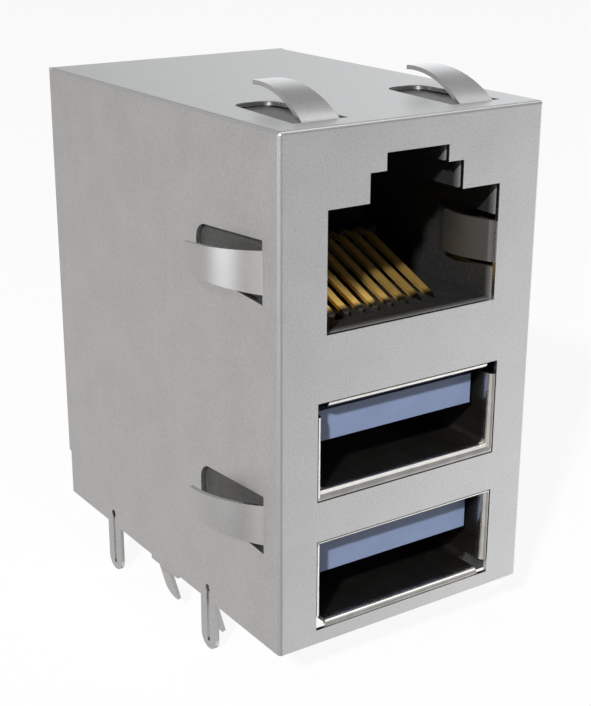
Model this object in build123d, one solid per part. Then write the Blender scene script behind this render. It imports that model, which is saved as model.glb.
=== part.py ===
from build123d import *
import math
import os

# A board connector: a modular jack above two stacked data ports in one folded metal shield.
# Millimetres. X runs across the mating face, Y from that face to the back, Z up from the board.

# Shield
body_width = 18.0
sheet = 0.25
fold_radius = 0.22
room_behind_tails = 3.26

# Clearances between pieces that nest in each other
slip = 0.05

# Mouth of the modular jack: a wide slot with two narrower steps for the latch above it
jack_width = 11.9
jack_mid_width = 6.44
jack_top_width = 4.27
jack_floor_thick = 2.87
jack_roof = 1.78
jack_main_rise = 6.88
jack_mid_rise = 8.52
jack_top_rise = 9.5

# The two data ports, and how far the front plate's openings stand back from each tube's walls
port_width = 12.1
port_height = 4.92
lower_port_floor = 1.28
port_pitch = 8.25
opening_beside = 0.41
lower_opening_below = 0.42
lower_opening_above = 0.3
upper_opening_below = 0.58
upper_opening_above = 0.42

# Spring fingers that touch the panel, each in its own window
side_finger_rise = 40.0
top_finger_rise = 38.0
finger_length = 5.6
finger_radius = 7.3
finger_root_width = 2.44
finger_tip_width = 1.66
finger_tip_round = 0.28
window_front = 1.6
window_root_width = 3.56
window_rear_width = 2.7
window_length = 6.88
window_corner = 1.0
upper_finger_above_floor = 3.58
lower_finger_height = 7.6
top_finger_spacing = 10.66

# Slotted legs on the side walls
leg_width = 1.73
leg_length = 3.38
front_leg_place = 7.94
leg_spacing = 12.46
slit_width = 0.28
slit_hole = 0.5
slit_hole_height = 0.8
slit_end_web = 0.5

# Kinked legs that hold the part in the board before soldering
kink_angle = 15.0
kink_leg_width = 1.25
kink_leg_length = 2.25
kink_leg_round = 0.85
kink_leg_place = 13.43
shoulder_width = 3.4
shoulder_drop = 0.28
inner_kink_leg_place = 8.38

# Leaf springs folded into the jack's mouth that earth the plug
ground_leaf_width = 2.45
ground_leaf_above_floor = 2.2
ground_leaf_reach = 0.8
ground_leaf_half_way_reach = 0.48
ground_leaf_tip_back = 0.13
ground_leaf_crest = 2.5
ground_leaf_length = 4.0
ground_leaf_sheet = 0.25

# Rear cover
cover_bottom = 3.15
cover_tongue_width = 15.8
cover_flange = 4.2
cover_flange_inset = 2.4

# Inner shield: an upturned channel over the port housing, notched behind the lower finger windows
web_above_ports = 0.8
inner_shield_front = 1.2
inner_shield_foot = 0.3
window_notch_spare = 0.4

# Jack moulding
jack_housing_depth = 19.6
jack_cavity_depth = 12.6
mouth_round = 0.18
ground_pocket_depth = 0.8
ground_pocket_length = 5.2
ground_pocket_spare = 0.35
latch_depth = 9.4
floor_groove_width = 0.15
floor_groove_depth = 0.5
floor_groove_front = 2.0
floor_groove_length = 4.7

# Jack contacts
jack_contacts = 8
jack_pitch = 1.016
contact_width = 0.46
contact_sheet = 0.25
contact_run_below_floor = 0.87
contact_bend = 0.45
contact_rise = 21.5
contact_surface_start = 3.0
contact_proud = 0.08
contact_tip_start = 9.0
contact_tip_length = 1.2
contact_tip_bend = 0.8
jack_tail_gap = 1.05
jack_tail_step = 2.54
tail_bend = 0.6
tail_length = 2.9

# Floor insert and comb that carry the jack contacts
insert_width = 9.3
insert_front = 1.2
insert_thick = 1.82
slot_spare = 0.08
slot_lead = 1.05
comb_lag = 0.6
comb_cover = 0.24
comb_slot_depth = 0.55

# Data port shells: drawn tubes whose lips spread until they fill the openings of the front plate
shell_depth = 12.9
shell_corner = 0.4
lip_setback = 0.04
lip_gap = 0.07
lip_rim = 0.03
lip_depth = 0.52
lip_corner = 0.25
lip_flats = 7
relief_width = 0.75
relief_height = 0.85
relief_depth = 1.8
leaf_window_width = 2.2
leaf_window_front = 3.6
leaf_window_length = 5.2
leaf_width = 1.5
leaf_lift = 0.4
leaf_lift_length = 1.0
leaf_nose = 0.3
leaf_spacing = 6.0

# Blue tongues
tongue_width = 11.1
tongue_thick = 1.84
tongue_above_floor = 2.48
tongue_front = 1.26
tongue_root = 9.6
carrier_inset = 0.2
spring_pocket = 1.0

# Data port contacts
blade_places = (-3.5, -1.0, 1.0, 3.5)
blade_width = 0.9
blade_front = 2.4
blade_climb_start = 5.4
blade_climb_length = 1.2
blade_climb = 1.15
blade_bend = 0.3
spring_places = (-4.0, -2.0, 0.0, 2.0, 4.0)
spring_width = 0.56
spring_front = 6.5
spring_crest = 7.4
spring_dip = 0.3
spring_return = 0.9
spring_bend = 0.5
port_contact_sheet = 0.2
port_tail_width = 0.5
port_tail_bend = 0.45
port_tail_gap = 0.45
tail_row_step = 1.3
port_tail_shift = 2.8

# Port housing and tail plate
port_housing_front = 1.15
housing_past_shell = 0.85
port_housing_foot = 0.4
tail_plate_bottom = 0.15
tail_plate_thick = 1.6
tail_hole_spare = 0.12

# Sizes that follow from those above
half_width = body_width / 2
inner_half = half_width - sheet
housing_half = inner_half - slip
shell_half = port_width / 2 + sheet
port_floors = {"lower": lower_port_floor, "upper": lower_port_floor + port_pitch}
opening_half = port_width / 2 + opening_beside
openings = {
    "lower": (lower_port_floor - lower_opening_below, lower_port_floor + port_height + lower_opening_above),
    "upper": (port_floors["upper"] - upper_opening_below,
              port_floors["upper"] + port_height + upper_opening_above),
}
port_housing_top = port_floors["upper"] + port_height + sheet + slip + web_above_ports
inner_shield_top = port_housing_top + slip + sheet
jack_floor = inner_shield_top + jack_floor_thick
jack_ceiling = jack_floor + jack_main_rise
body_height = jack_floor + jack_top_rise + jack_roof
inner_top = body_height - sheet
jack_housing_back = sheet + slip + jack_housing_depth
jack_tail_front = jack_housing_back + jack_tail_gap
carrier_end = shell_depth - carrier_inset
port_housing_back = shell_depth + housing_past_shell
lower_tail_front = port_housing_back + port_tail_gap
wall_depth = jack_tail_front + jack_tail_step + room_behind_tails
ground_leaf_bottom = jack_floor + ground_leaf_above_floor
insert_bottom = jack_floor - insert_thick
notch_back = window_front + window_length + window_notch_spare
notch_bottom = lower_finger_height - window_root_width / 2 - window_notch_spare
notch_top = lower_finger_height + window_root_width / 2 + window_notch_spare

# Heights of the jack contacts' middle line, from the slope of their spring arms
contact_slope = math.tan(math.radians(contact_rise))
contact_run_height = jack_floor - contact_run_below_floor
contact_arm_height = jack_floor + contact_proud - contact_sheet / 2 / math.cos(math.radians(contact_rise))
contact_tip_height = contact_arm_height + (contact_tip_start - contact_surface_start) * contact_slope


def block(x0, x1, y0, y1, z0, z1):
    """A box between two corners."""
    return Pos((x0 + x1) / 2, (y0 + y1) / 2, (z0 + z1) / 2) * Box(x1 - x0, y1 - y0, z1 - z0)


def wide_block(width, y0, y1, z0, z1):
    """A box centred on the part's middle plane."""
    return block(-width / 2, width / 2, y0, y1, z0, z1)


def side_solid(outline, x0, x1):
    """Extrude an outline drawn as (Y, Z) between two X planes."""
    face = Plane.YZ.offset(x0) * make_face(outline)
    return extrude(face, amount=x1 - x0, dir=(1, 0, 0))


def both_sides(solid):
    """A left piece together with its mirror image on the right."""
    return [solid, mirror(solid, about=Plane.YZ)]


def jack_mouth(y0, y1):
    """The stepped opening of the jack as a solid between two depths."""
    steps = ((jack_width, jack_main_rise), (jack_mid_width, jack_mid_rise), (jack_top_width, jack_top_rise))
    bars = [wide_block(width, y0, y1, jack_floor, jack_floor + rise) for width, rise in steps]
    return bars[0] + bars[1] + bars[2]


def port_opening(name, y0, y1, inset=0.0):
    """The rectangular opening in the front plate for one data port, or what lies inside it by an inset."""
    low, high = openings[name]
    return wide_block(2 * (opening_half - inset), y0, y1, low + inset, high - inset)


def finger_plane(side, height):
    """A frame on the shield's face with its Y to the back and its Z outwards."""
    if side == "top":
        return Plane(origin=(height, window_front, body_height), x_dir=(1, 0, 0), z_dir=(0, 0, 1))
    out = -1 if side == "left" else 1
    return Plane(origin=(out * half_width, window_front, height), x_dir=(0, 0, -out), z_dir=(out, 0, 0))


def finger_shape(rise):
    """A lanced finger that springs out of the wall in a shallow arc, narrower at its rounded tip."""
    start = math.radians(rise)
    middle_y = finger_radius * math.sin(start)
    middle_z = -finger_radius * math.cos(start)
    end = math.asin((finger_length - middle_y) / finger_radius)

    def on_arc(radius, angle):
        return middle_y + radius * math.sin(angle), middle_z + radius * math.cos(angle)

    inside = finger_radius - sheet
    root = sheet / 4
    outline = [
        Line((-root, 0), (0, 0)),
        ThreePointArc((0, 0), on_arc(finger_radius, 0), on_arc(finger_radius, end)),
        Line(on_arc(finger_radius, end), on_arc(inside, end)),
        ThreePointArc(on_arc(inside, end), on_arc(inside, 0), on_arc(inside, -start)),
        Polyline(on_arc(inside, -start), (0, -sheet), (-root, -sheet), (-root, 0)),
    ]
    face = Plane.YZ * make_face(outline)
    strip = extrude(face, amount=finger_root_width, both=True)
    corner = finger_length - finger_tip_round
    root_half, tip_half = finger_root_width / 2, finger_tip_width / 2
    plan = [
        Polyline((-tip_half, corner), (-root_half, -root), (root_half, -root), (tip_half, corner)),
        ThreePointArc((tip_half, corner), (0, finger_length), (-tip_half, corner)),
    ]
    return strip & extrude(make_face(plan), amount=finger_radius, both=True)


def window_shape():
    """The tapered window behind a finger, with rounded rear corners."""
    root, rear = window_root_width / 2, window_rear_width / 2
    plan = Polyline((-root, 0), (root, 0), (rear, window_length), (-rear, window_length), close=True)
    face = make_face(plan)
    face = fillet(face.vertices().group_by(Axis.Y)[-1], window_corner)
    return extrude(face, amount=2 * sheet, both=True)


def slotted_leg(place):
    """A flat leg with a rounded tip, as an outline on the side wall, and the slit down its middle."""
    half = leg_width / 2
    straight = -leg_length + half
    outline = [
        Polyline((place - half, straight), (place - half, sheet), (place + half, sheet),
                 (place + half, straight)),
        ThreePointArc((place + half, straight), (place, -leg_length), (place - half, straight)),
    ]
    leg = side_solid(outline, -half_width, -inner_half)
    slit = block(-half_width - sheet, -inner_half + sheet, place - slit_width / 2, place + slit_width / 2,
                 -leg_length + slit_end_web, slit_hole_height)
    hole = Pos(-half_width, place, slit_hole_height) * Rot(0, 90, 0) * Cylinder(slit_hole / 2, 4 * sheet)
    return leg, slit + hole


def kinked_leg(place, outer_x, root_top):
    """A short leg bent inwards just below the board plane, with one rounded corner."""
    half = kink_leg_width / 2
    outline = Polyline((place - half, -kink_leg_length), (place + half, -kink_leg_length),
                       (place + half, 0), (place - half, 0), close=True)
    face = make_face(outline)
    low = face.vertices().group_by(Axis.Y)[0].sort_by(Axis.X)
    face = fillet(low[-1], kink_leg_round)
    flat = extrude(Plane.YZ.offset(-sheet / 2) * face, amount=sheet, dir=(1, 0, 0))
    knee = Pos(0, place, 0) * Rot(90, 0, 0) * Cylinder(sheet / 2, kink_leg_width)
    neck = block(-sheet / 2, sheet / 2, place - half, place + half, 0, root_top + shoulder_drop)
    leg = Rot(0, -kink_angle, 0) * flat + knee + neck
    return Pos(outer_x + sheet / 2, 0, -shoulder_drop) * leg


def ground_leaf():
    """The leaf spring folded back from the edge of the jack's mouth, on the left side."""
    edge = -jack_width / 2
    crest_x = edge + ground_leaf_reach
    tip_x = crest_x - ground_leaf_tip_back
    half_way = edge + ground_leaf_half_way_reach
    thick = ground_leaf_sheet
    outline = [
        Spline((edge, 0), (half_way, ground_leaf_crest / 2), (crest_x, ground_leaf_crest),
               (tip_x, ground_leaf_length)),
        Line((tip_x, ground_leaf_length), (tip_x - thick, ground_leaf_length)),
        Spline((tip_x - thick, ground_leaf_length), (crest_x - thick, ground_leaf_crest),
               (half_way - thick, ground_leaf_crest / 2 + thick / 3), (edge - thick / 2, sheet)),
        Polyline((edge - thick / 2, sheet), (edge - thick / 2, 0), (edge, 0)),
    ]
    face = Plane.XY.offset(ground_leaf_bottom) * make_face(outline)
    return extrude(face, amount=ground_leaf_width, dir=(0, 0, 1))


def front_shield():
    """Front plate, side walls and top folded from one sheet, with its fingers, legs and leaves."""
    outside = wide_block(body_width, 0, wall_depth, 0, body_height)
    upright = outside.edges().filter_by(Axis.Z).group_by(Axis.Y)[0]
    along_top = outside.edges().group_by(Axis.Z)[-1].filter_by(Axis.Y)
    across_top = outside.edges().group_by(Axis.Z)[-1].filter_by(Axis.X).group_by(Axis.Y)[0]
    outside = fillet(upright + along_top + across_top, fold_radius)
    hollow = wide_block(2 * inner_half, sheet, wall_depth + sheet, -sheet, inner_top)
    shield = outside - hollow
    shield -= jack_mouth(-sheet, 2 * sheet)
    for name in openings:
        shield -= port_opening(name, -sheet, 2 * sheet)

    window = window_shape()
    side_finger = finger_shape(side_finger_rise)
    top_finger = finger_shape(top_finger_rise)
    places = [(finger_plane(side, height), side_finger) for side in ("left", "right")
              for height in (lower_finger_height, jack_floor + upper_finger_above_floor)]
    places += [(finger_plane("top", x), top_finger)
               for x in (-top_finger_spacing / 2, top_finger_spacing / 2)]
    for place, finger in places:
        shield -= place * window
        shield += place * finger

    left, cuts = [], []
    for place in (front_leg_place, front_leg_place + leg_spacing):
        leg, slit = slotted_leg(place)
        left.append(leg)
        cuts.append(slit)
    half = shoulder_width / 2
    left.append(block(-half_width, -inner_half, kink_leg_place - half, kink_leg_place + half,
                      -shoulder_drop, sheet))
    left.append(kinked_leg(kink_leg_place, -half_width, sheet))
    left.append(ground_leaf())
    for solid in left:
        for piece in both_sides(solid):
            shield += piece
    for solid in cuts:
        for piece in both_sides(solid):
            shield -= piece
    return shield


def rear_cover():
    """The cover plate behind the walls, with a tongue between them and two spring flanges inside."""
    front, back = wall_depth, wall_depth + sheet
    cover = wide_block(body_width, front, back, cover_bottom, body_height)
    cover += wide_block(cover_tongue_width, front, back, port_housing_foot, cover_bottom + sheet)
    flange = block(-inner_half + slip, -inner_half + slip + sheet, front - cover_flange, back - sheet / 2,
                   cover_bottom + cover_flange_inset, body_height - cover_flange_inset)
    for piece in both_sides(flange):
        cover += piece
    return cover


def inner_shield():
    """The upturned channel that parts the ports from the jack, with a kinked leg on each side."""
    outer, back, low = housing_half, port_housing_back, inner_shield_foot
    channel = wide_block(2 * outer, inner_shield_front, back, low, inner_shield_top)
    channel -= wide_block(2 * (outer - sheet), 0, back + sheet, 0, inner_shield_top - sheet)
    channel -= wide_block(body_width, 0, notch_back, notch_bottom, notch_top)
    leg = kinked_leg(inner_kink_leg_place, -outer, low + sheet)
    for piece in both_sides(leg):
        channel += piece
    return channel


def jack_housing():
    """The black jack moulding with its stepped cavity, leaf pockets and a bay for the insert."""
    front, back = sheet + slip, jack_housing_back
    low = inner_shield_top + slip
    body = wide_block(2 * housing_half, front, back, low, inner_top - slip)
    cavity = wide_block(jack_width, front, jack_cavity_depth, jack_floor, jack_ceiling)
    cavity += jack_mouth(front, latch_depth)
    body -= cavity
    rim = [edge for edge in body.edges().group_by(Axis.Y)[0]
           if abs(edge.center().X) < jack_width / 2 + slip and edge.center().Z > jack_floor - slip
           and edge.center().Z < jack_floor + jack_top_rise + slip]
    body = fillet(rim, mouth_round)
    pocket = block(-jack_width / 2 - ground_pocket_depth, -jack_width / 2 + slip, 0, ground_pocket_length,
                   ground_leaf_bottom - ground_pocket_spare,
                   ground_leaf_bottom + ground_leaf_width + ground_pocket_spare)
    groove = block(-jack_width / 2, floor_groove_width - jack_width / 2, floor_groove_front,
                   floor_groove_front + floor_groove_length, jack_floor - floor_groove_depth, jack_floor)
    for piece in both_sides(pocket) + both_sides(groove):
        body -= piece
    bay = wide_block(insert_width + 2 * slip, insert_front, back + slip, insert_bottom - slip, jack_floor)
    body -= bay
    closed = wide_block(insert_width + 2 * slip, jack_cavity_depth, back + slip, insert_bottom - slip,
                        jack_floor + slip)
    return body - closed


def contact_place(number):
    """X of one jack contact, counted from the left."""
    return (number - (jack_contacts - 1) / 2) * jack_pitch


def contact_insert():
    """The grooved floor of the jack that holds the contacts' lower runs."""
    back = jack_housing_back
    slot_front = contact_surface_start - slot_lead
    body = wide_block(insert_width, insert_front + slip, back, insert_bottom, jack_floor)
    half = contact_width / 2 + slot_spare
    low = contact_run_height - contact_sheet / 2 - slot_spare
    for number in range(jack_contacts):
        x = contact_place(number)
        body -= block(x - half, x + half, slot_front, back + slip, low, jack_floor + slip)
    return body


def contact_comb():
    """The comb at the back of the cavity that keeps the contact tips apart."""
    comb_front = contact_tip_start + comb_lag
    body = wide_block(insert_width - 2 * slip, comb_front, jack_cavity_depth - slip, jack_floor + slip,
                      contact_tip_height + comb_cover)
    half = contact_width / 2 + slot_spare
    slot_back = contact_tip_start + contact_tip_length + slot_spare
    for number in range(jack_contacts):
        x = contact_place(number)
        body -= block(x - half, x + half, comb_front - slip, slot_back,
                      contact_tip_height - comb_slot_depth, body_height)
    return body


def ribbon(points, radii, x, width, thick):
    """A bent strip of sheet along a path of (Y, Z) points at one X."""
    path = FilletPolyline(*[(x, y, z) for y, z in points], radius=radii)
    section = Plane(origin=path @ 0, x_dir=(1, 0, 0), z_dir=path % 0) * Rectangle(width, thick)
    return sweep(section, path=path)


def jack_contact(number):
    """One gold contact: board tail, run under the floor, hairpin bend and slanted spring arm."""
    x = contact_place(number)
    tail_y = jack_tail_front + (number % 2) * jack_tail_step
    hairpin_y = contact_surface_start - (contact_arm_height - contact_run_height) / contact_slope
    points = [(tail_y, -tail_length), (tail_y, contact_run_height), (hairpin_y, contact_run_height),
              (contact_tip_start, contact_tip_height),
              (contact_tip_start + contact_tip_length, contact_tip_height)]
    radii = [tail_bend, contact_bend, contact_tip_bend]
    return ribbon(points, radii, x, contact_width, contact_sheet)


def flare(tube_low, tube_high, mouth_low, mouth_high):
    """A mouth's outline, as (across, depth), that turns in short flats from the tube's walls to the lips."""
    turns = [math.radians(90 * step / lip_flats) for step in range(lip_flats + 1)]
    depths = [lip_depth + (lip_setback - lip_depth) * math.sin(turn) for turn in turns]

    def wall(tube, mouth):
        return [(mouth + (tube - mouth) * math.cos(turn), depth) for turn, depth in zip(turns, depths)]

    return make_face(Polyline(*wall(tube_high, mouth_high), *reversed(wall(tube_low, mouth_low)), close=True))


def port_shell(name, gaps_at_top):
    """A drawn tube whose lips spread into the front plate's opening, relieved at two corners."""
    floor, ceiling = port_floors[name], port_floors[name] + port_height
    middle = (floor + ceiling) / 2
    low, high = openings[name]
    inset = lip_gap + lip_rim

    def tube(width, height, corner, front):
        face = Plane.XZ * RectangleRounded(width, height, corner)
        return Pos(0, front, middle) * extrude(face, amount=front - shell_depth)

    shell = tube(port_width + 2 * sheet, port_height + 2 * sheet, shell_corner + sheet, sheet + slip)
    shell += port_opening(name, lip_setback, sheet + 2 * slip, lip_gap)
    across = flare(-port_width / 2, port_width / 2, inset - opening_half, opening_half - inset)
    upwards = flare(floor, ceiling, low + inset, high - inset)
    side_view = Plane(origin=(0, 0, 0), x_dir=(0, 0, 1), z_dir=(-1, 0, 0))
    mouth = extrude(Plane.XY * across, amount=body_height, both=True)
    mouth &= extrude(side_view * upwards, amount=body_width, both=True)
    rounded = port_opening(name, 0, lip_depth, inset)
    mouth &= fillet(rounded.edges().filter_by(Axis.Y), lip_corner)
    shell -= tube(port_width, port_height, shell_corner, lip_setback) + mouth
    far = 2 * half_width
    gap_low, gap_high = (high - relief_height, far) if gaps_at_top else (-far, low + relief_height)
    gap = block(-half_width, relief_width - opening_half, 0, relief_depth, gap_low, gap_high)
    for piece in both_sides(gap):
        shell -= piece
    return shell


def shell_leaves(shell, floor):
    """Cut two windows in the ceiling and add the leaves that press on the plug through them."""
    start, end = leaf_window_front, leaf_window_front + leaf_window_length
    ceiling = floor + port_height
    nose, bow = start + leaf_nose, start + leaf_nose + leaf_lift_length
    low, curl = ceiling - leaf_lift, ceiling - leaf_lift / 2
    outline = Polyline((end + sheet, ceiling), (bow, low), (nose, curl), (nose, curl + sheet),
                       (bow, low + sheet), (end + sheet, ceiling + sheet), close=True)
    for x in (-leaf_spacing / 2, leaf_spacing / 2):
        half = leaf_window_width / 2
        shell -= block(x - half, x + half, start, end, ceiling - slip, ceiling + sheet + slip)
        shell += side_solid(outline, x - leaf_width / 2, x + leaf_width / 2)
    return shell


def tongue(floor):
    """The blue tongue and the block at its root that fills the back of the shell."""
    low = floor + tongue_above_floor
    high = low + tongue_thick
    body = wide_block(tongue_width, tongue_front, tongue_root + slip, low, high)
    fill_half = port_width / 2 - slip
    root = block(-fill_half, fill_half, tongue_root, carrier_end, floor + slip, floor + port_height - slip)
    root = fillet(root.edges().filter_by(Axis.Y), shell_corner)
    body += root
    spare = tail_hole_spare / 2
    for x in blade_places:
        half = blade_width / 2 + spare
        body -= block(x - half, x + half, blade_front - spare, carrier_end + slip, low - slip,
                      low + blade_climb + port_contact_sheet + spare)
    for x in spring_places:
        half = spring_width / 2 + spare
        body -= block(x - half, x + half, spring_front - spare, carrier_end + slip, low - slip,
                      low + 2 * port_contact_sheet + 2 * spare)
        body -= block(x - half, x + half, tongue_root - slip, tongue_root + spring_pocket,
                      low - 2 * spring_dip, low)
    return body


def port_blade(floor, x, tail_y):
    """A flat contact on the tongue's underside that climbs into it and drops to the board."""
    low = floor + tongue_above_floor + port_contact_sheet / 2
    high = low + blade_climb
    points = [(blade_front, low), (blade_climb_start, low), (blade_climb_start + blade_climb_length, high),
              (tail_y, high), (tail_y, -tail_length)]
    radii = [blade_bend, blade_bend, port_tail_bend]
    wide = ribbon(points, radii, x, blade_width, port_contact_sheet)
    before_bend = block(x - blade_width, x + blade_width, 0, tail_y - 2 * port_tail_bend, 0, body_height)
    slim = ribbon(points, radii, x, port_tail_width, port_contact_sheet)
    return (wide & before_bend) + slim


def port_spring(floor, x, tail_y):
    """A springy contact behind the blades, bowed below the tongue, that drops to the board."""
    low = floor + tongue_above_floor + port_contact_sheet
    points = [(spring_front, low), (spring_crest, low - spring_dip - port_contact_sheet),
              (tongue_root - spring_return, low), (tail_y, low), (tail_y, -tail_length)]
    return ribbon(points, [spring_bend, spring_bend, port_tail_bend], x, spring_width, port_contact_sheet)


def tail_rows():
    """X and Y of every tail that goes through the tail plate, with its section."""
    rows = []
    for number in range(jack_contacts):
        rows.append((contact_place(number), jack_tail_front + (number % 2) * jack_tail_step, contact_width,
                     contact_sheet))
    for shift in (0, port_tail_shift):
        front = lower_tail_front + shift
        rows += [(x, front, spring_width, port_contact_sheet) for x in spring_places]
        rows += [(x, front + tail_row_step, port_tail_width, port_contact_sheet) for x in blade_places]
    return rows


def port_housing():
    """The black frame that holds both shells: two cheeks, a web between the ports and one above."""
    outer, back = housing_half - sheet - slip, port_housing_back
    body = wide_block(2 * outer, port_housing_front, back, port_housing_foot, port_housing_top)
    for name, floor in port_floors.items():
        low = floor - sheet - slip if name == "upper" else 0
        body -= wide_block(2 * (shell_half + slip), 0, back + slip, low, floor + port_height + sheet + slip)
    pad = block(-housing_half, -outer, port_housing_front, notch_back - slip, notch_bottom + slip,
                notch_top - slip)
    for piece in both_sides(pad):
        body += piece
    return body


def tail_plate():
    """The black plate at the back that lines up every tail with the board."""
    back = wall_depth - 2 * slip - sheet
    body = wide_block(2 * housing_half, port_housing_back + slip, back, tail_plate_bottom,
                      tail_plate_bottom + tail_plate_thick)
    for x, y, width, thick in tail_rows():
        half_x, half_y = (width + tail_hole_spare) / 2, (thick + tail_hole_spare) / 2
        body -= block(x - half_x, x + half_x, y - half_y, y + half_y, 0, body_height)
    return body


def build():
    """Every piece by node name."""
    nodes = {
        "front_shield": front_shield(),
        "rear_cover": rear_cover(),
        "inner_shield": inner_shield(),
        "jack_housing": jack_housing(),
        "contact_insert": contact_insert(),
        "contact_comb": contact_comb(),
        "port_housing": port_housing(),
        "tail_plate": tail_plate(),
    }
    for number in range(jack_contacts):
        nodes[f"jack_contact_{number + 1}"] = jack_contact(number)
    for name, floor in port_floors.items():
        shift = port_tail_shift if name == "upper" else 0
        nodes[f"{name}_port_shell"] = shell_leaves(port_shell(name, name == "upper"), floor)
        nodes[f"{name}_tongue"] = tongue(floor)
        for count, x in enumerate(blade_places, 1):
            tail_y = lower_tail_front + shift + tail_row_step
            nodes[f"{name}_port_blade_{count}"] = port_blade(floor, x, tail_y)
        for count, x in enumerate(spring_places, 1):
            nodes[f"{name}_port_spring_{count}"] = port_spring(floor, x, lower_tail_front + shift)
    return nodes


os.makedirs("parts", exist_ok=True)
for node, shape in build().items():
    export_step(shape, f"parts/{node}.step")
    print(node, len(shape.solids()), round(shape.volume, 3))
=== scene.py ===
import math

import bpy
from bpy.props import FloatProperty, FloatVectorProperty, PointerProperty
from mathutils import Matrix, Vector


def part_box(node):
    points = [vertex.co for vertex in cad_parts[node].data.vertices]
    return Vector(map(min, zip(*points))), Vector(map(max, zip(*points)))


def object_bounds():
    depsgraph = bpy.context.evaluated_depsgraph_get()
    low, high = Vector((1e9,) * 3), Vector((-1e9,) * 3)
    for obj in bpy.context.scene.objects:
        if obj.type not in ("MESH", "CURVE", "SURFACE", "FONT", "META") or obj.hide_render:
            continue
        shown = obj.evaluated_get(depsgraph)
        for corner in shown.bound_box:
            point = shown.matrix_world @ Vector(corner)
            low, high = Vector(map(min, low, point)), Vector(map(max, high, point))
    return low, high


bl_info = {
    "name": "Board connector finish",
    "version": (1, 0, 0),
    "blender": (4, 5, 0),
    "location": "3D View > Sidebar > Connector",
    "description": "Tin plate, plastic, gold contacts and a small studio for a board connector",
    "category": "Object",
}

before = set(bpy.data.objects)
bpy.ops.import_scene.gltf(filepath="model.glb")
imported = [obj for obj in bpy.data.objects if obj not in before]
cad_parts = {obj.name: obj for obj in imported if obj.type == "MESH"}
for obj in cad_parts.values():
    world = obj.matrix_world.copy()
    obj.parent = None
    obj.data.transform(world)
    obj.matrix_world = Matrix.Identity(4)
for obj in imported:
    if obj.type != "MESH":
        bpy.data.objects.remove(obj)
cad_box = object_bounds()

MM = 0.001
WHITE = (1.0, 1.0, 1.0)

# Faces that the finishes are placed from: the shield's outside and the foot of the jack's floor
cover_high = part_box("rear_cover")[1]
front_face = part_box("front_shield")[0].y
jack_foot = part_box("contact_insert")[0].z

# Depths below the shield's outer faces between which its tin plate changes, and the painted shade
# on its leaves and folds
FACE_END = (0.05 * MM, 0.08 * MM)
SHEET_BACK = (0.22 * MM, 0.25 * MM)
# Painted shade and extra roughness on the leaves in the jack's mouth set in between these depths
LEAF_START = (0.3 * MM, 0.6 * MM)
# Depths between which a band of each fold gets painted shade, which narrows its highlight
FOLD_SHADE_START = (0.01 * MM, 0.02 * MM)
FOLD_SHADE_END = (0.045 * MM, 0.06 * MM)
# The leaves in the jack's mouth, which carry painted shade, end before this depth behind the
# mating face
LEAF_REACH = 8.0 * MM

# Depths behind the mating face between which the other finishes and the painted light and shade
# change
# Depths between which the painted shade inside the port tubes sets in
LIP_END = (0.4 * MM, 0.7 * MM)
# Depths between which the painted highlight on the rim of the jack's mouth ends
RIM_HIGHLIGHT_END = (0.3 * MM, 1.0 * MM)
# Depths between which the painted shade on the jack contacts' bends ends
BEND_SHADE_END = (3.0 * MM, 3.5 * MM)
# Depths below the walls and the top between which the scuffed skin of the plastic ends
SKIN_END = (0.8 * MM, 1.6 * MM)
# Depths below the foot of the jack's floor between which the painted highlight on the rim ends
RIM_HIGHLIGHT_FOOT = (-0.1 * MM, 0.0)

# How far each pattern swings the tin plate's colour, and the share of that where it is rubbed
GRAIN_CONTRAST, CLOUD_CONTRAST, RUBBED_CONTRAST = 1.6, 0.5, 0.3
# How far each pattern swings its roughness
GRAIN_GLOSS, CLOUD_GLOSS = 0.1, 0.06
# How much less the back of the sheet is rubbed, and how much higher the leaves' grains are
BACK_LOSS, LEAF_GRAIN = 0.3, 2.0

# The port shells' plating: colour left in its dull clouds, their edges, and swings of roughness
DULL_SHARE = 0.88
CLOUD_EDGE = (0.35, 0.65)
DRAW_GLOSS, DULL_GLOSS = 0.16, 0.1

# The plastic: its palest and darkest colour against the plain one, and swings of colour and gloss
PALE_GAIN, PALE_LIFT, DARK_GAIN = 1.12, 0.002, 0.9
SPARK_CONTRAST, FLOW_CONTRAST = 0.8, 0.9
SPARK_GLOSS, FLOW_GLOSS = 0.14, 0.12
# Flecks on the black mouldings: height against the spark texture, starting level and contrast
FLECK_HEIGHT, FLECK_LEVEL, FLECK_CONTRAST = 8.0, 0.45, 3.0
# How much paler than the scuffed skin the painted highlight on the rim of the jack's mouth is
RIM_HIGHLIGHT_GAIN = 2.4

# Swing of the gold's roughness
STAMP_GLOSS = 0.14
# How many times longer than wide the marks are that run from the mating face to the back
STAMP_STRETCH = (1.0, 12.0, 1.0)
DRAW_STRETCH = (1.0, 30.0, 1.0)
FLOW_STRETCH = (1.0, 4.0, 1.0)

# Camera frame in millimetres, and the nearest and farthest points that the camera sees in metres
FRAME_WIDTH = 36.0
NEAREST, FARTHEST = 0.005, 20.0

# Sockets of a Mix node that is set to colours
MIX_FIRST, MIX_SECOND, MIX_RESULT = 6, 7, 2

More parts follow.
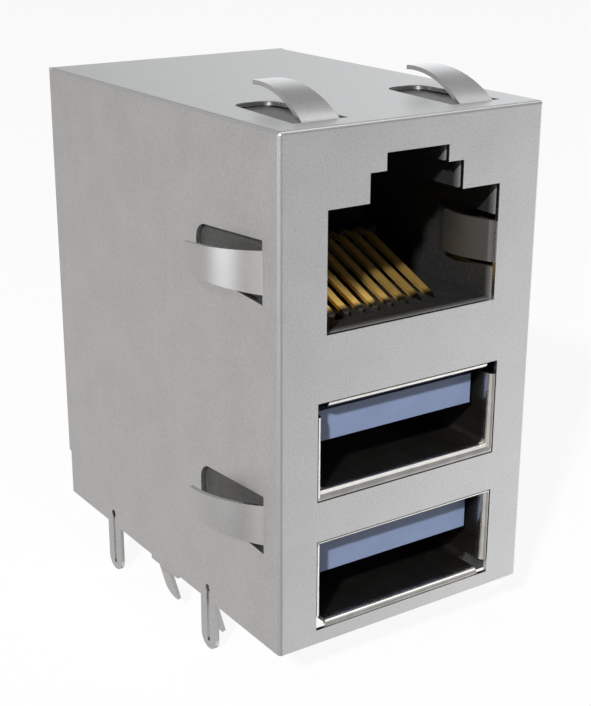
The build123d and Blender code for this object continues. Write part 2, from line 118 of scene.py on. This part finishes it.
# Soft cards round the part: direction from the part, half angle in degrees, level and tint
NEUTRAL = WHITE
WARM = (1.0, 0.92, 0.84)
COOL = (0.95, 0.98, 1.0)
CARDS = (
    ((0.88, -0.2, -0.46), 42.0, 1.5, NEUTRAL),      # right, low
    ((0.35, -0.35, -0.85), 40.0, 0.3, NEUTRAL),     # below
    ((0.95, 0.3, 0.0), 40.0, 0.8, COOL),            # right
    ((0.69, 0.71, 0.1), 31.0, 0.8, COOL),           # right, behind
    ((0.35, -0.2, 0.9), 36.0, 0.5, NEUTRAL),        # above
    ((0.53, -0.2, 0.82), 20.0, 1.3, NEUTRAL),       # above, right
    ((-0.75, -0.57, -0.33), 35.0, 0.38, WARM),      # left, in front
    ((-0.96, 0.26, -0.04), 24.0, 1.1, COOL),        # left
    ((-0.35, 0.78, -0.55), 42.0, 0.27, WARM),       # behind, low
    ((-0.31, 0.78, 0.51), 35.0, 0.3, NEUTRAL),      # behind, high
    ((-0.95, 0.1, 0.1), 50.0, 0.15, WARM),          # left, wide
)


def colour_property(name, description, default):
    """A colour that the sidebar shows as a swatch."""
    return FloatVectorProperty(name=name, description=description, default=default,
                               subtype="COLOR", size=3, min=0.0, max=1.0)


def length_property(name, description, millimetres):
    """A length with its default given in millimetres."""
    return FloatProperty(name=name, description=description, default=millimetres * MM,
                         unit="LENGTH", precision=5)


def share_property(name, description, default):
    """A share from nothing to all."""
    return FloatProperty(name=name, description=description, default=default, min=0.0, max=1.0,
                         subtype="FACTOR")


def level_property(name, description, default):
    """A strength of light."""
    return FloatProperty(name=name, description=description, default=default, min=0.0)


def direction_property(name, description, default):
    """A direction in the part's frame."""
    return FloatVectorProperty(name=name, description=description, default=default,
                               subtype="DIRECTION")


class ShieldFinish(bpy.types.PropertyGroup):
    """Finish of the folded shield, its cover and the inner channel"""

    tin: colour_property("Tin", "Colour of the tin plate", (0.66, 0.66, 0.66))
    tin_dull: colour_property("Dull tin", "Colour of the duller grains", (0.50, 0.50, 0.50))
    # Painted shade: a dark tin colour that stands in for the shade on the leaves deep in the
    # jack's mouth
    shaded_leaf: colour_property("Leaf", "Colour of the leaves in the mouth", (0.118, 0.113, 0.104))
    roughness: share_property("Roughness", "Roughness of the flat walls", 0.42)
    rubbed_roughness: share_property("Rubbed roughness",
                                     "Roughness of fingers, folds and sheared edges", 0.25)
    leaf_roughness: share_property("Leaf roughness", "Roughness added on the leaves", 0.3)
    grain: length_property("Grain", "Size of one grain of the plating", 0.13)
    grain_depth: length_property("Grain depth", "Height of the grains", 0.0016)
    cloud: length_property("Cloud", "Size of the faint clouds in the plating", 3.0)


class PortFinish(bpy.types.PropertyGroup):
    """Finish of the drawn port shells"""

    nickel: colour_property("Nickel", "Colour of the bright plating on the lips",
                            (0.66, 0.645, 0.62))
    # Painted shade: a dark colour inside the tubes that stands in for the shade deep in the ports
    inside: colour_property("Inside", "Colour of the dull plating inside the tubes",
                            (0.13, 0.122, 0.11))
    roughness: share_property("Roughness", "Roughness of the lips", 0.24)
    inside_roughness: share_property("Inside roughness", "Roughness added inside the tubes", 0.16)
    draw_mark: length_property("Draw mark", "Spacing of the marks that drawing leaves", 0.12)
    draw_depth: length_property("Draw depth", "Height of those marks", 0.0003)
    cloud: length_property("Cloud", "Size of the dull clouds in the plating", 1.2)
    lip_wander: length_property("Lip wander", "How far the end of the bright plating wanders", 0.1)


class PlasticFinish(bpy.types.PropertyGroup):
    """Finish of the mouldings"""

    black: colour_property("Black", "Colour of the jack and port mouldings",
                           (0.015, 0.015, 0.015))
    scuffed: colour_property("Scuffed", "Colour of their skin under the shield",
                             (0.054, 0.053, 0.052))
    blue: colour_property("Blue", "Colour of the tongues", (0.216, 0.274, 0.434))
    roughness: share_property("Roughness", "Roughness of the mouldings", 0.42)
    spark: length_property("Spark texture", "Size of the texture that the tool leaves", 0.11)
    spark_depth: length_property("Spark depth", "Height of that texture", 0.002)
    flow: length_property("Flow marks", "Width of the faint flow marks", 1.54)
    fleck: length_property("Fleck", "Size of the flecks on the black mouldings", 0.2)


class ContactFinish(bpy.types.PropertyGroup):
    """Finish of the contacts: gold in front, painted shade on the jack's bends, tin on the tails
    """

    gold: colour_property("Gold", "Colour of the gold plating", (0.88, 0.62, 0.20))
    gold_dull: colour_property("Dull gold", "Colour of the gold in the stamping marks",
                               (0.792, 0.5208, 0.14))
    # Painted shade: near-black within about 3 mm of the mating face, where the jack's contacts
    # bend; it hides their highlight
    bend: colour_property("Bend", "Colour of the thin plating on the bends", (0.012, 0.01, 0.008))
    tin: colour_property("Tail tin", "Colour of the tinned tails", (0.62, 0.62, 0.61))
    roughness: share_property("Roughness", "Roughness of the gold", 0.58)
    tail_roughness: share_property("Tail roughness", "Roughness added on the tails", 0.15)
    mark: length_property("Stamping mark", "Spacing of the marks that stamping leaves", 0.05)
    mark_depth: length_property("Mark depth", "Height of those marks", 0.0008)
    plating_end: length_property("Plating end", "Depth at which gold gives way to tin", 13.2)
    plating_fade: length_property("Plating fade", "Half the length of that change", 0.1)
    plating_edge: length_property("Plating edge", "Size of the waves in the plating's edges", 0.4)
    tail_wander: length_property("Tail wander", "How far the tin's edge wanders", 0.5)
    bend_wander: length_property("Bend wander", "How far the edge at the bends wanders", 0.3)


class StudioSettings(bpy.types.PropertyGroup):
    """Camera, lamps and floor"""

    camera_place: FloatVectorProperty(
        name="Camera", description="Where the camera stands", subtype="TRANSLATION",
        unit="LENGTH", default=(-0.047645, -0.058495, 0.043050), precision=5)
    camera_aim: direction_property("Aim", "Direction in which the camera looks",
                                   (0.52943, 0.78049, -0.33246))
    camera_roll: FloatProperty(
        name="Roll", description="Turn of the camera about its own line of sight",
        subtype="ANGLE", default=math.radians(0.19))
    lens: FloatProperty(name="Lens", description="Focal length in millimetres on a 36 mm frame",
                        default=72.1)
    key_from: direction_property("Key from", "Direction from the part to the key lamp",
                                 (-1.2, -1.0, 1.03))
    key_level: level_property("Key level",
                              "Light that a white card facing the key lamp gives back", 1.3)
    key_distance: length_property("Key distance", "From the part to the key lamp", 450.0)
    key_size: length_property("Key size", "Side of the square key lamp", 25.0)
    fill_from: direction_property("Fill from", "Direction from the part to the contacts' lamp",
                                  (0.9, -0.55, 0.4))
    fill_level: level_property("Fill level",
                               "Light that a white card facing that lamp gives back", 2.9)
    fill_distance: length_property("Fill distance", "From the part to the contacts' lamp", 400.0)
    fill_size: length_property("Fill size", "Side of the square contacts' lamp", 120.0)
    ambient: share_property("Ambient", "Strength of the light from all round", 0.14)
    room: level_property("Room", "Level of the room between the soft cards", 0.41)
    floor: colour_property("Floor", "Colour of the floor as the part sees it", (0.35, 0.35, 0.35))
    floor_seen: colour_property("Floor seen", "Colour of the floor as the camera sees it",
                                (0.965, 0.965, 0.965))
    floor_glow: share_property("Floor glow", "Share of white in the floor that takes no shadow",
                               0.93)
    floor_size: length_property("Floor size", "Side of the square floor", 6000.0)
    backdrop: colour_property("Backdrop", "Colour behind the floor's far edge",
                              (0.985, 0.985, 0.985))


class Wire:
    """One output of a shader node, with arithmetic that adds Math nodes."""

    def __init__(self, paint, socket):
        self.paint = paint
        self.socket = socket

    def math(self, operation, *others):
        """A Math node with this wire first."""
        values = {index + 1: other for index, other in enumerate(others)}
        return self.paint.add("ShaderNodeMath", {"operation": operation}, {0: self, **values})

    def __add__(self, other):
        return self.math("ADD", other)

    __radd__ = __add__

    def __mul__(self, other):
        return self.math("MULTIPLY", other)

    __rmul__ = __mul__

    def __sub__(self, other):
        return self.math("SUBTRACT", other)

    def __rsub__(self, other):
        return self.math("MULTIPLY", -1.0) + other

    def __abs__(self):
        return self.math("ABSOLUTE")

    def greatest(self, other):
        """The greater of two values."""
        return self.math("MAXIMUM", other)

    def least(self, other):
        """The lesser of two values."""
        return self.math("MINIMUM", other)

    def swing(self, reach):
        """Noise, which lies round a half, made to lie round nothing and scaled by reach."""
        return (self - 0.5) * reach

    def step(self, low, high):
        """A smooth rise from 0 at low to 1 at high."""
        return self.paint.add("ShaderNodeMapRange", {"interpolation_type": "SMOOTHSTEP"},
                              {"Value": self, "From Min": low, "From Max": high})


class Paint:
    """The nodes of a material or of the world, which grow one by one."""

    def __init__(self, holder):
        self.holder = holder
        holder.use_nodes = True
        self.tree = holder.node_tree
        self.tree.nodes.clear()

    def add(self, kind, settings=None, sockets=None, output=0):
        """Any node: its settings first, then the values or links of its sockets."""
        node = self.tree.nodes.new(kind)
        for name, value in (settings or {}).items():
            setattr(node, name, value)
        for name, value in (sockets or {}).items():
            target = node.inputs[name]
            if isinstance(value, Wire):
                self.tree.links.new(value.socket, target)
            else:
                target.default_value = (*value, 1.0) if target.type == "RGBA" else value
        return Wire(self, node.outputs[output])

    def place(self):
        """Object coordinates, in metres."""
        return self.add("ShaderNodeTexCoord", output="Object")

    def axes(self):
        """The three Object coordinates, one wire each."""
        split = self.add("ShaderNodeSeparateXYZ", {}, {"Vector": self.place()}).socket.node
        return [Wire(self, socket) for socket in split.outputs]

    def noise(self, size, detail=2.0, roughness=0.5, stretch=(1.0, 1.0, 1.0)):
        """Noise with features about size metres across, longer where a stretch is above 1."""
        mapping = self.add("ShaderNodeMapping", {},
                           {"Vector": self.place(), "Scale": tuple(1 / s for s in stretch)})
        return self.add("ShaderNodeTexNoise", {},
                        {"Vector": mapping, "Scale": 1 / size, "Detail": detail,
                         "Roughness": roughness}, "Fac")

    def blend(self, share, first, second, settings=None):
        """A colour between two others, or another way to mix them."""
        return self.add("ShaderNodeMix", {"data_type": "RGBA", **(settings or {})},
                        {"Factor": share, MIX_FIRST: first, MIX_SECOND: second}, MIX_RESULT)

    def bump(self, height, depth):
        """A relief for the surface shader's normal."""
        return self.add("ShaderNodeBump", {},
                        {"Height": height, "Distance": depth, "Strength": 1.0})

    def card(self, light, direction, half_angle, level, tint):
        """Light from all round with one more soft card in it."""
        ray = self.add("ShaderNodeTexCoord", output="Generated")
        towards = tuple(Vector(direction).normalized())
        facing = self.add("ShaderNodeVectorMath", {"operation": "DOT_PRODUCT"},
                          {0: ray, 1: towards}, "Value")
        share = facing.step(math.cos(math.radians(half_angle)), 1.0)
        shine = tuple(level * channel for channel in tint)
        return self.blend(share, light, shine, {"blend_type": "ADD"})

    def rays(self):
        """Two masks: the camera's rays, and those together with reflected and passed ones."""
        seen, mirrored, through = (self.add("ShaderNodeLightPath", output=f"Is {kind} Ray")
                                   for kind in ("Camera", "Glossy", "Transmission"))
        return seen, seen.greatest(mirrored).greatest(through)

    def end(self, surface, kind="ShaderNodeOutputMaterial"):
        """The output node."""
        node = self.tree.nodes.new(kind)
        self.tree.links.new(surface.socket, node.inputs["Surface"])

    def finish(self, sockets):
        """The surface shader and the output; gives the material."""
        self.end(self.add("ShaderNodeBsdfPrincipled", {}, sockets))
        return self.holder


def tin_plate(name, settings):
    """Matt tin plate with a fine grain, smoother on fingers, folds and edges, with painted shade
    on leaves and folds.
    """
    paint = Paint(bpy.data.materials.new(name))
    grain = paint.noise(settings.grain, detail=2.0, roughness=0.6)
    cloud = paint.noise(settings.cloud, detail=3.0, roughness=0.5)
    x, y, z = paint.axes()
    from_sides = (cover_high.x - abs(x)).least(cover_high.z - z)
    depth = from_sides.least(y - front_face).least(cover_high.y - y)
    rubbed = abs(depth).step(*FACE_END) * (1.0 - depth.step(*SHEET_BACK) * BACK_LOSS)
    flat = 1.0 - rubbed
    # Painted shade on the leaves deep in the jack's mouth; the same mask also adds roughness and
    # grain there
    shaded_leaf = depth.least(z - jack_foot).least(LEAF_REACH - y).step(*LEAF_START)
    # Painted shade on a band inside each fold, pulling its colour towards the dull tin to narrow
    # its highlight
    fold_shade = abs(depth).step(*FOLD_SHADE_START) * (1.0 - abs(depth).step(*FOLD_SHADE_END))
    pattern = grain.swing(GRAIN_CONTRAST) + cloud.swing(CLOUD_CONTRAST)
    share = pattern * (flat * (1.0 - RUBBED_CONTRAST) + RUBBED_CONTRAST) + 0.5 - fold_shade
    colour = paint.blend(share, tuple(settings.tin_dull), tuple(settings.tin))
    colour = paint.blend(shaded_leaf, colour, tuple(settings.shaded_leaf))
    span = settings.roughness - settings.rubbed_roughness
    roughness = (flat * span + shaded_leaf * settings.leaf_roughness + grain.swing(GRAIN_GLOSS)
                 + cloud.swing(CLOUD_GLOSS) + settings.rubbed_roughness)
    relief = grain * (flat + shaded_leaf * LEAF_GRAIN)
    return paint.finish({"Base Color": colour, "Metallic": 1.0, "Roughness": roughness,
                         "Normal": paint.bump(relief, settings.grain_depth)})


def nickel_plate(name, settings):
    """Bright plating on a drawn tube's lip with painted shade inside, and faint marks along the
    draw.
    """
    paint = Paint(bpy.data.materials.new(name))
    marks = paint.noise(settings.draw_mark, detail=2.0, roughness=0.6, stretch=DRAW_STRETCH)
    cloud = paint.noise(settings.cloud)
    dull = tuple(DULL_SHARE * channel for channel in settings.nickel)
    lip = paint.blend(cloud.step(*CLOUD_EDGE), dull, tuple(settings.nickel))
    y = paint.axes()[1]
    # Painted shade inside the tubes, behind the lip; the same mask also adds roughness there
    inside_with_shade = (y + cloud.swing(settings.lip_wander)).step(*LIP_END)
    colour = paint.blend(inside_with_shade, lip, tuple(settings.inside))
    roughness = (marks.swing(DRAW_GLOSS) + cloud.swing(DULL_GLOSS)
                 + inside_with_shade * settings.inside_roughness + settings.roughness)
    return paint.finish({"Base Color": colour, "Metallic": 1.0, "Roughness": roughness,
                         "Normal": paint.bump(marks, settings.draw_depth)})


def moulded_plastic(name, base, settings, scuffed=None):
    """Plastic with a spark-eroded tool's texture and flow marks, a scuffed, flecked skin and a
    painted highlight on the jack's rim.
    """
    paint = Paint(bpy.data.materials.new(name))
    spark = paint.noise(settings.spark, detail=3.0, roughness=0.6)
    flow = paint.noise(settings.flow, stretch=FLOW_STRETCH)
    pale = tuple(min(1.0, PALE_GAIN * channel + PALE_LIFT) for channel in base)
    dark = tuple(DARK_GAIN * channel for channel in base)
    pattern = spark.swing(SPARK_CONTRAST) + flow.swing(FLOW_CONTRAST)
    colour = paint.blend(pattern + 0.5, dark, pale)
    relief = spark
    if scuffed:
        x, y, z = paint.axes()
        core = (cover_high.x - abs(x)).least(cover_high.z - z).step(*SKIN_END)
        fleck = paint.noise(settings.fleck, detail=3.0, roughness=0.7)
        relief = spark + fleck * FLECK_HEIGHT
        colour = paint.blend(core + (fleck - FLECK_LEVEL) * FLECK_CONTRAST, scuffed, colour)
        # Painted highlight: a paler band along the rim of the jack's mouth
        behind_rim_highlight = y.step(*RIM_HIGHLIGHT_END).greatest((jack_foot - z).step(*RIM_HIGHLIGHT_FOOT))
        colour = paint.blend(behind_rim_highlight, tuple(RIM_HIGHLIGHT_GAIN * channel for channel in scuffed), colour)
    roughness = spark.swing(SPARK_GLOSS) + flow.swing(FLOW_GLOSS) + settings.roughness
    return paint.finish({"Base Color": colour, "Roughness": roughness,
                         "Normal": paint.bump(relief, settings.spark_depth)})


def plated_contact(name, settings):
    """Gold with stamping marks where a plug touches, painted shade on the bends and tinned on the
    tail.
    """
    paint = Paint(bpy.data.materials.new(name))
    marks = paint.noise(settings.mark, detail=2.0, roughness=0.6, stretch=STAMP_STRETCH)
    y = paint.axes()[1]
    edge = paint.noise(settings.plating_edge)
    tail = (y + edge.swing(settings.tail_wander)).step(
        settings.plating_end - settings.plating_fade, settings.plating_end + settings.plating_fade)
    # Painted shade near the mating face gives way to gold behind these depths
    clear_of_bend_shade = (y + edge.swing(settings.bend_wander)).step(*BEND_SHADE_END)
    gold = paint.blend(marks, tuple(settings.gold_dull), tuple(settings.gold))
    gold = paint.blend(clear_of_bend_shade, tuple(settings.bend), gold)
    colour = paint.blend(tail, gold, tuple(settings.tin))
    roughness = (marks.swing(STAMP_GLOSS) + settings.roughness
                 + tail * settings.tail_roughness)
    return paint.finish({"Base Color": colour, "Metallic": 1.0, "Roughness": roughness,
                         "Normal": paint.bump(marks, settings.mark_depth)})


def dress(material, names):
    """Give CAD nodes a finish in their own material slots."""
    for name in names:
        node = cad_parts[name]
        node.data.materials.clear()
        node.data.materials.append(material)


def nodes_with(*parts):
    """CAD nodes whose names hold one of the given parts."""
    return sorted(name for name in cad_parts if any(part in name for part in parts))


class CONNECTOR_OT_finish_shield(bpy.types.Operator):
    """Give the shield, its cover and the inner channel their tin plate"""

    bl_idname = "connector.finish_shield"
    bl_label = "Tin plate the shield"

    def execute(self, context):
        plate = tin_plate("tin plate", context.scene.connector_shield)
        dress(plate, ["front_shield", "rear_cover", "inner_shield"])
        return {"FINISHED"}


class CONNECTOR_OT_finish_ports(bpy.types.Operator):
    """Give the drawn port shells their bright plating and the painted shade inside their tubes"""

    bl_idname = "connector.finish_ports"
    bl_label = "Plate the port shells"

    def execute(self, context):
        plate = nickel_plate("nickel plate", context.scene.connector_ports)
        dress(plate, nodes_with("port_shell"))
        return {"FINISHED"}


class CONNECTOR_OT_finish_mouldings(bpy.types.Operator):
    """Give the black mouldings and the blue tongues their plastic"""

    bl_idname = "connector.finish_mouldings"
    bl_label = "Colour the mouldings"

    def execute(self, context):
        settings = context.scene.connector_plastic
        black = moulded_plastic("black plastic", tuple(settings.black), settings,
                                tuple(settings.scuffed))
        dress(black, ["jack_housing", "contact_insert", "contact_comb", "port_housing",
                      "tail_plate"])
        blue = moulded_plastic("blue plastic", tuple(settings.blue), settings)
        dress(blue, nodes_with("tongue"))
        return {"FINISHED"}


class CONNECTOR_OT_finish_contacts(bpy.types.Operator):
    """Give every contact its gold, its tinned tail and painted shade near the mating face"""

    bl_idname = "connector.finish_contacts"
    bl_label = "Plate the contacts"

    def execute(self, context):
        plate = plated_contact("gold plate", context.scene.connector_contacts)
        dress(plate, nodes_with("jack_contact", "_blade_", "_spring_"))
        return {"FINISHED"}


def aimed(place, direction, roll=0.0):
    """A matrix at a place that looks along a direction, upright and then turned by roll."""
    back = -Vector(direction).normalized()
    right = Vector((0, 0, 1)).cross(back).normalized()
    turned = Matrix((right, back.cross(right), back)).transposed().to_4x4()
    return Matrix.Translation(place) @ turned @ Matrix.Rotation(roll, 4, "Z")


def square_lamp(name, centre, toward, distance, size, level):
    """A square lamp that makes a white card at the centre, facing it, give back a set level."""
    data = bpy.data.lights.new(name, "AREA")
    data.shape = "SQUARE"
    data.size = size
    data.energy = level * math.pi ** 2 * distance ** 2
    lamp = bpy.data.objects.new(name, data)
    direction = Vector(toward).normalized()
    lamp.matrix_world = aimed(centre + direction * distance, -direction)
    bpy.context.scene.collection.objects.link(lamp)
    return lamp


def place_camera(scene, settings):
    """The camera at the photograph's viewing angle."""
    data = bpy.data.cameras.new("camera")
    data.lens = settings.lens
    data.sensor_width = FRAME_WIDTH
    data.clip_start, data.clip_end = NEAREST, FARTHEST
    camera = bpy.data.objects.new("camera", data)
    camera.matrix_world = aimed(Vector(settings.camera_place), settings.camera_aim,
                                settings.camera_roll)
    scene.collection.objects.link(camera)
    scene.camera = camera


def place_lamps(settings, centre):
    """The key lamp, and a second lamp that lights only the jack's contacts."""
    square_lamp("key lamp", centre, settings.key_from, settings.key_distance, settings.key_size,
                settings.key_level)
    fill = square_lamp("contacts' lamp", centre, settings.fill_from, settings.fill_distance,
                       settings.fill_size, settings.fill_level)
    lit = bpy.data.collections.new("lit contacts")
    for name in nodes_with("jack_contact"):
        lit.objects.link(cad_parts[name])
    fill.light_linking.receiver_collection = lit


def surround(scene, settings):
    """Soft cards in a grey room, dim for diffuse light, with a pale backdrop for the camera."""
    scene.world = bpy.data.worlds.new("surroundings")
    sky = Paint(scene.world)
    seen, shown = sky.rays()
    strength = shown * (1.0 - settings.ambient) + settings.ambient
    studio = (settings.room, settings.room, settings.room)
    for card in CARDS:
        studio = sky.card(studio, *card)
    colour = sky.blend(seen, studio, tuple(settings.backdrop))
    light = sky.add("ShaderNodeBackground", {}, {"Color": colour, "Strength": strength})
    sky.end(light, "ShaderNodeOutputWorld")


def lay_floor(settings, height):
    """A floor that is pale to the camera, darker to the part, and keeps the part's shadow."""
    bpy.ops.object.select_all(action="DESELECT")
    bpy.ops.mesh.primitive_plane_add(size=settings.floor_size, location=(0, 0, height))
    floor = bpy.context.object
    floor.name = "floor"
    bpy.ops.object.transform_apply(location=True, rotation=True, scale=True)
    paint = Paint(bpy.data.materials.new("floor"))
    seen, shown = paint.rays()
    colour = paint.blend(seen, tuple(settings.floor), tuple(settings.floor_seen))
    matt = paint.add("ShaderNodeBsdfDiffuse", {}, {"Color": colour})
    glow = paint.add("ShaderNodeEmission", {}, {"Color": WHITE, "Strength": 1.0})
    share = shown * settings.floor_glow
    paint.end(paint.add("ShaderNodeMixShader", {}, {0: share, 1: matt, 2: glow}))
    floor.data.materials.append(paint.holder)
    floor.visible_glossy = False


class CONNECTOR_OT_build_stage(bpy.types.Operator):
    """Set up the camera, the lamps, the surroundings and the floor"""

    bl_idname = "connector.build_stage"
    bl_label = "Build the studio"

    def execute(self, context):
        settings = context.scene.connector_studio
        context.scene.view_settings.view_transform = "Standard"
        low, high = cad_box
        place_camera(context.scene, settings)
        place_lamps(settings, (low + high) / 2)
        surround(context.scene, settings)
        lay_floor(settings, low.z)
        return {"FINISHED"}


class CONNECTOR_PT_panel(bpy.types.Panel):
    """The connector's finishes and studio"""

    bl_idname = "CONNECTOR_PT_panel"
    bl_label = "Board connector"
    bl_space_type = "VIEW_3D"
    bl_region_type = "UI"
    bl_category = "Connector"

    def draw(self, context):
        """A button for each operator, and a box for each group of settings."""
        for kind in OPERATORS:
            self.layout.operator(kind.bl_idname)
        for name, group in GROUPS.items():
            box = self.layout.box()
            settings = getattr(context.scene, name)
            for prop in group.__annotations__:
                box.prop(settings, prop)


GROUPS = {
    "connector_shield": ShieldFinish,
    "connector_ports": PortFinish,
    "connector_plastic": PlasticFinish,
    "connector_contacts": ContactFinish,
    "connector_studio": StudioSettings,
}
OPERATORS = (
    CONNECTOR_OT_finish_shield,
    CONNECTOR_OT_finish_ports,
    CONNECTOR_OT_finish_mouldings,
    CONNECTOR_OT_finish_contacts,
    CONNECTOR_OT_build_stage,
)


def register():
    """Make the settings, the operators and the panel known to Blender."""
    for kind in (*GROUPS.values(), *OPERATORS, CONNECTOR_PT_panel):
        bpy.utils.register_class(kind)
    for name, group in GROUPS.items():
        setattr(bpy.types.Scene, name, PointerProperty(type=group))


def unregister():
    """Take back what register did."""
    for name in GROUPS:
        delattr(bpy.types.Scene, name)
    for kind in reversed((*GROUPS.values(), *OPERATORS, CONNECTOR_PT_panel)):
        bpy.utils.unregister_class(kind)


def main():
    """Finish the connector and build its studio."""
    register()
    bpy.ops.connector.finish_shield()
    bpy.ops.connector.finish_ports()
    bpy.ops.connector.finish_mouldings()
    bpy.ops.connector.finish_contacts()
    bpy.ops.connector.build_stage()


if __name__ == "__main__":
    main()
